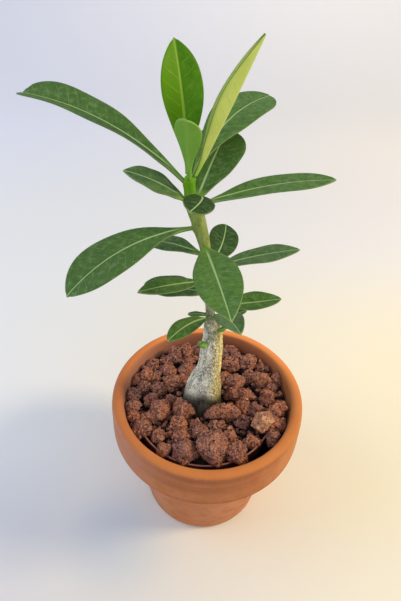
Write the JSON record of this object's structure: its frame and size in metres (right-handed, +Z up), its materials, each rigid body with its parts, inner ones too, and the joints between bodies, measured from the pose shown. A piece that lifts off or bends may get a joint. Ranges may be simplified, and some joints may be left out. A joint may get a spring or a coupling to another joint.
{
  "type": "potted desert rose",
  "caption": "Young desert rose with a swollen pale trunk and long green leaves, in a banded clay pot topped with brown lava stones.",
  "frame": {"origin": "centre of the clay pot's flat underside, on the surface it stands on", "axes": "+Z up, +Y away from the viewer, +X to the viewer's right"},
  "size_m": [0.1356, 0.1118, 0.2631],
  "materials": {
    "clay": "matte, unglazed",
    "liner_plastic": "satin",
    "potting_mix": "matte, crumbly",
    "lava": "matte, porous",
    "tan_stone": "matte, porous",
    "bark": "rough bark, green towards the tip",
    "leaf_green": "waxy satin",
    "young_leaf": "waxy satin",
    "pale_leaf": "waxy satin",
    "bud_green": "waxy satin"
  },
  "bodies": {
    "root": {"clay_pot": "clay", "nursery_pot": "liner_plastic", "soil": "potting_mix", "lava_stones": "lava", "pale_stone": "tan_stone", "stem": "bark", "leaf_01": "leaf_green", "leaf_02": "young_leaf", "leaf_03": "young_leaf", "leaf_04": "pale_leaf", "leaf_05": "leaf_green", "leaf_06": "leaf_green", "leaf_07": "leaf_green", "leaf_08": "leaf_green", "leaf_09": "leaf_green", "leaf_10": "leaf_green", "leaf_11": "leaf_green", "leaf_12": "leaf_green", "leaf_13": "leaf_green", "leaf_14": "leaf_green", "leaf_15": "leaf_green", "leaf_16": "leaf_green", "leaf_17": "leaf_green", "leaf_18": "leaf_green", "leaf_19": "leaf_green", "leaf_20": "leaf_green", "leaf_21": "leaf_green", "bud_1": "bud_green", "bud_2": "bud_green"}
  },
  "joints": []
}
